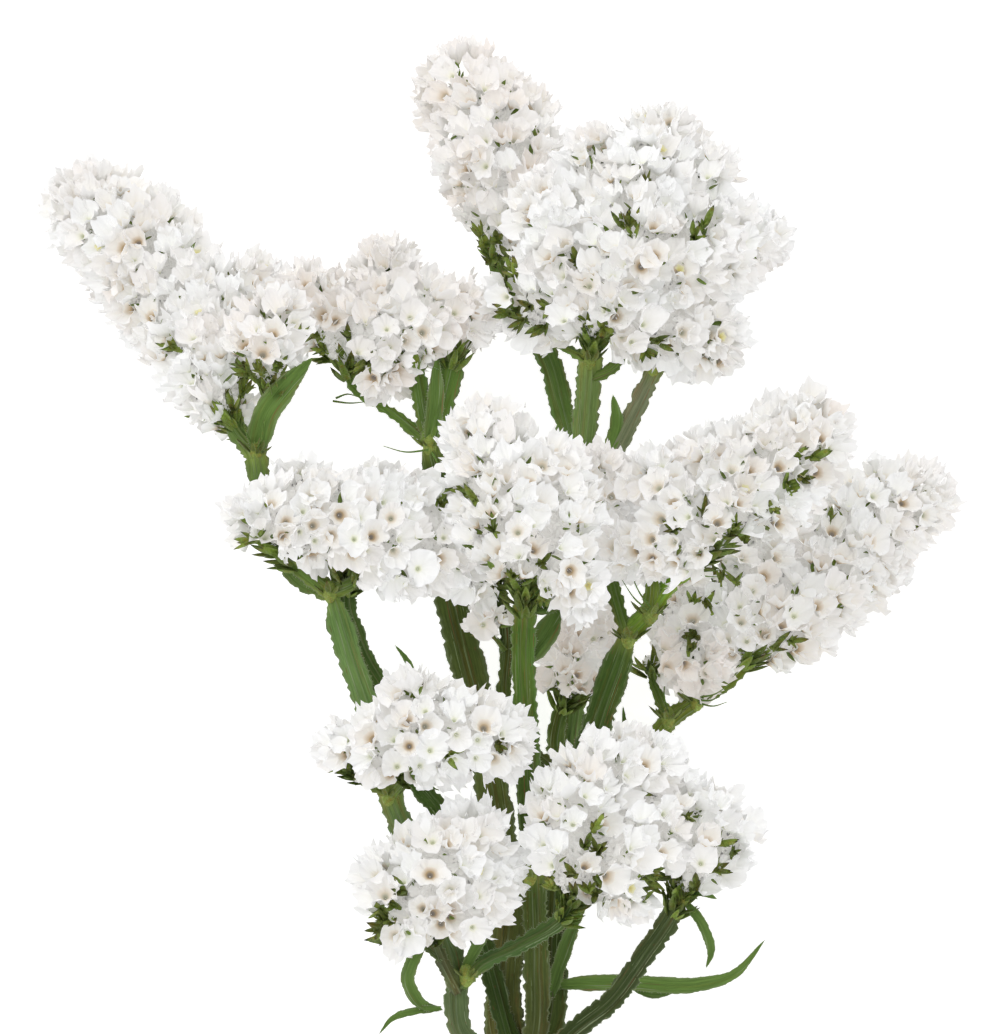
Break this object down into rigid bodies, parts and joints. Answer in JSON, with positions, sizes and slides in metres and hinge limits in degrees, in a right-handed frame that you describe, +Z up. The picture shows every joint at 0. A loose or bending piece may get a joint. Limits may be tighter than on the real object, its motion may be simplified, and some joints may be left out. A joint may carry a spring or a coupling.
{
  "type": "dried statice spray",
  "caption": "Cut spray of white statice lying on its back: winged green stems and dense heads of papery funnel calyces.",
  "frame": {"origin": "on the surface that the spray lies on, under the middle of its bounding box", "axes": "+Y from the cut end towards the flowers, +X to the spray's right, +Z up from the surface"},
  "size_m": [0.2972, 0.4238, 0.121],
  "materials": {
    "green": "matte",
    "calyx": "matte"
  },
  "bodies": {
    "root": {"stems": "green", "head_front_left": "calyx", "head_front_low": "calyx", "head_front_right": "calyx", "head_centre": "calyx", "head_left": "calyx", "head_right": "calyx", "head_right_small": "calyx", "head_upper_right": "calyx", "head_upper_left": "calyx", "head_small_left": "calyx", "head_behind": "calyx", "head_far_right_low": "calyx", "head_bud": "calyx", "head_top_left": "calyx", "head_top": "calyx", "head_far_right": "calyx"}
  },
  "joints": []
}
